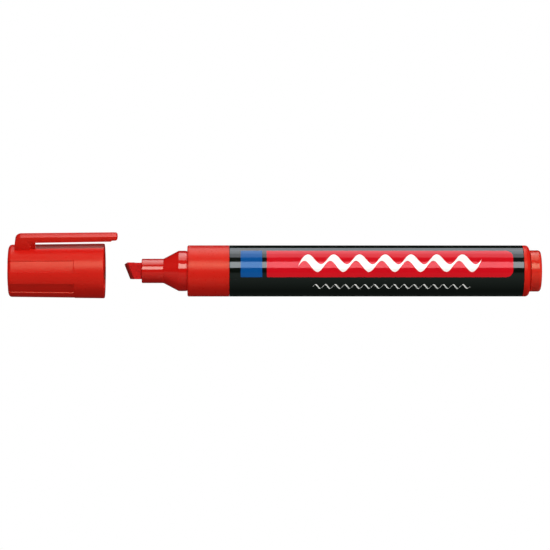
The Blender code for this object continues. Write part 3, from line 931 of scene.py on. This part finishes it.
# name, from and to angle above the camera's direction, radiance, angle round to the rear end
FILLS = [
    ("key", 39.5, 48.5, 79.0, 0),
    ("low_fill", -47, -39, 18.5, 0),
    ("under_fill", -70, -62, 9.0, 0),
    ("back_fill", 108, 116, 11.0, 0),
    ("rear_fill", 146, 154, 28.0, 0),
    ("cap_end_fill", 8, 16, 18.0, -75),
    ("rear_end_fill", 8, 16, 44.0, 75),
]


def add_panel(name, low_angle, high_angle, radiance, colour, half_length, shows_in_gloss, lean=0.0):
    """A flat light that spans these angles above the camera's direction, seen from the pen.

    It shows in the gloss only, or it lights the diffuse surfaces only. A panel that leans stands
    that far round towards the pen's rear end.
    """
    middle = (low_angle + high_angle) / 2
    upright = TO_CAMERA * math.cos(middle) + IMAGE_UP * math.sin(middle)
    direction = upright * math.cos(lean) + Vector((1.0, 0.0, 0.0)) * math.sin(lean)
    light_data = bpy.data.lights.new(name, "AREA")
    light_data.shape = "RECTANGLE"
    light_data.size = 2 * half_length
    light_data.size_y = 2 * LIGHT_DISTANCE * math.tan((high_angle - low_angle) / 2)
    light_data.energy = radiance * math.pi * light_data.size * light_data.size_y
    light_data.color = colour
    light = bpy.data.objects.new(name, light_data)
    bpy.context.scene.collection.objects.link(light)
    light.location = Vector((0.0, 0.0, AXIS_Z)) + direction * LIGHT_DISTANCE
    across = Vector((1.0, 0.0, 0.0)) * math.cos(lean) - upright * math.sin(lean)
    light.rotation_euler = facing(across, direction.cross(across), direction)
    light.visible_camera = False
    light.visible_glossy = shows_in_gloss
    light.visible_diffuse = not shows_in_gloss


def add_lights():
    """Long softboxes for the highlight bands; compact lights, out of the gloss, for the shading."""
    for name, low, high, radiance, colour in SOFTBOXES:
        add_panel(name, low * DEG, high * DEG, radiance, colour, SOFTBOX_HALF_LENGTH, True)
    for name, low, high, radiance, lean in FILLS:
        angles = (low * DEG, high * DEG)
        add_panel(name, *angles, radiance, WHITE_LIGHT, FILL_HALF_LENGTH, False, lean * DEG)


def make_world():
    """Dim surroundings that are darkest towards the camera and a little lighter low in front."""
    world = bpy.data.worlds.new("studio")
    bpy.context.scene.world = world
    world.use_nodes = True
    nodes = world.node_tree.nodes
    links = world.node_tree.links
    coordinates = nodes.new("ShaderNodeTexCoord").outputs["Generated"]
    heights = []
    for axis in (TO_CAMERA, IMAGE_UP):
        dot = nodes.new("ShaderNodeVectorMath")
        dot.operation = "DOT_PRODUCT"
        dot.inputs[1].default_value = axis
        links.new(coordinates, dot.inputs[0])
        heights.append(dot.outputs["Value"])
    angle = nodes.new("ShaderNodeMath")
    angle.operation = "ARCTAN2"
    links.new(heights[1], angle.inputs[0])
    links.new(heights[0], angle.inputs[1])
    share = nodes.new("ShaderNodeMapRange")
    share.inputs["From Min"].default_value = -math.pi
    share.inputs["From Max"].default_value = math.pi
    links.new(angle.outputs["Value"], share.inputs["Value"])
    ramp = nodes.new("ShaderNodeValToRGB")
    links.new(share.outputs["Result"], ramp.inputs["Fac"])
    # brightness at angles above the camera's direction, in degrees
    stops = [
        (-180, 0.02), (-150, 0.03), (-124, 0.05), (-100, 0.07), (-75, 0.16), (-60, 0.22),
        (-40, 0.3), (-25, 0.36), (-11, 0.36), (-5, 0.06), (45, 0.15), (60, 0.15),
        (119, 0.05), (140, 0.03), (155, 0.015), (180, 0.01),
    ]
    tint = (0.8, 1.0, 0.93)
    elements = ramp.color_ramp.elements
    while len(elements) < len(stops):
        elements.new(0.5)
    for element, (degrees, brightness) in zip(elements, stops):
        element.position = (degrees + 180) / 360
        element.color = (*shade(tint, brightness), 1.0)
    links.new(ramp.outputs["Color"], nodes["Background"].inputs["Color"])


def make_floor():
    """A pale sweep under the pen, which lights nothing and shows in no reflection."""
    bpy.ops.mesh.primitive_plane_add(size=4.0, location=(0.0, 0.0, -0.02 * MM))
    floor = bpy.context.object
    floor.name = "floor"
    material = Material("floor_paper")
    material.set(Roughness=1.0, Base_Color=(0.0, 0.0, 0.0, 1.0), Specular_IOR_Level=0.0)
    material.set(Emission_Color=(1.0, 1.0, 1.0, 1.0), Emission_Strength=1.0)
    floor.data.materials.append(material.material)
    floor.visible_glossy = False
    floor.visible_diffuse = False
    floor.visible_shadow = False


# --- the whole marker ---------------------------------------------------------------------------
def finish_piece(piece, body, slot, *nodes):
    """Attaches a piece to the body that it rides on and hides the solids that it stands for; the
    slot is not used.
    """
    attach(piece, body)
    if nodes:
        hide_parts(*nodes)


def main():
    bpy.context.scene.view_settings.view_transform = "Standard"
    make_camera()

    cap_plastic = grained_plastic("cap_plastic", CAP_RED, 0.27, 0.37)
    collar_plastic = grained_plastic("collar_plastic", COLLAR_RED, 0.26, 0.36)
    ring_plastic = grained_plastic("ring_plastic", COLLAR_RED, 0.29, 0.37, 0.01 * MM)
    plug_plastic = glossy_plastic(
        "plug_plastic", PLUG_RED, 0.15, 0.2,
        Specular_IOR_Level=0.33, Specular_Tint=(*WARM_GLINT, 1.0),
        Subsurface_Weight=0.4, Subsurface_Radius=(1.0, 0.2, 0.1), Subsurface_Scale=2 * MM,
    )
    nozzle_plastic = glossy_plastic(
        "nozzle_plastic", NOZZLE_RED, 0.06, 0.12,
        Specular_IOR_Level=0.56, Specular_Tint=(*NOZZLE_GLINT, 1.0),
    )
    seal_plastic = glossy_plastic("seal_plastic", (0.7, 0.7, 0.66), 0.35, 0.45)
    black = lacquer("barrel_lacquer", LACQUER_BLACK)
    panel_ink = lacquer("panel_ink", PANEL_RED, (1.0, 0.36, 0.4))
    block_ink = lacquer("block_ink", BLOCK_BLUE, (0.35, 0.55, 0.8))
    white_ink = lacquer("white_ink", PRINT_WHITE)
    felt = felt_material()

    finish_piece(make_cap(cap_plastic), "cap", "cap_red", "cap_shell")
    finish_piece(make_seal(seal_plastic), "cap", "seal_natural", "cap_seal")
    clip = make_clip(cap_plastic)
    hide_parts("pocket_clip")
    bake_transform(clip)

    nib_head, nib_stem = make_nib(felt)
    finish_piece(nib_head, "pen", "nib_felt", "nib")
    finish_piece(nib_stem, "pen", "nib_felt")
    finish_piece(make_nozzle(nozzle_plastic), "pen", "nozzle_red", "nozzle")
    finish_piece(make_collar(collar_plastic), "pen", "collar_red", "collar")
    finish_piece(make_barrel(black), "pen", "barrel_black", "barrel")
    for piece in make_printing(panel_ink, block_ink, white_ink):
        finish_piece(piece, "pen", "barrel_black")
    finish_piece(make_end_ring(ring_plastic), "pen", "ring_red", "end_ring")
    finish_piece(make_end_plug(plug_plastic), "pen", "plug_red", "end_plug")

    inner_materials = {
        "ink_core": fibre_material("core_fibre_bundle", (0.35, 0.01, 0.01)),
        "core_film": glossy_plastic("core_film_wrap", (0.75, 0.7, 0.7), 0.2, 0.3),
    }
    for node, material in inner_materials.items():
        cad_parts[node].data.materials.clear()
        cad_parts[node].data.materials.append(material)

    make_world()
    add_lights()
    make_floor()


main()
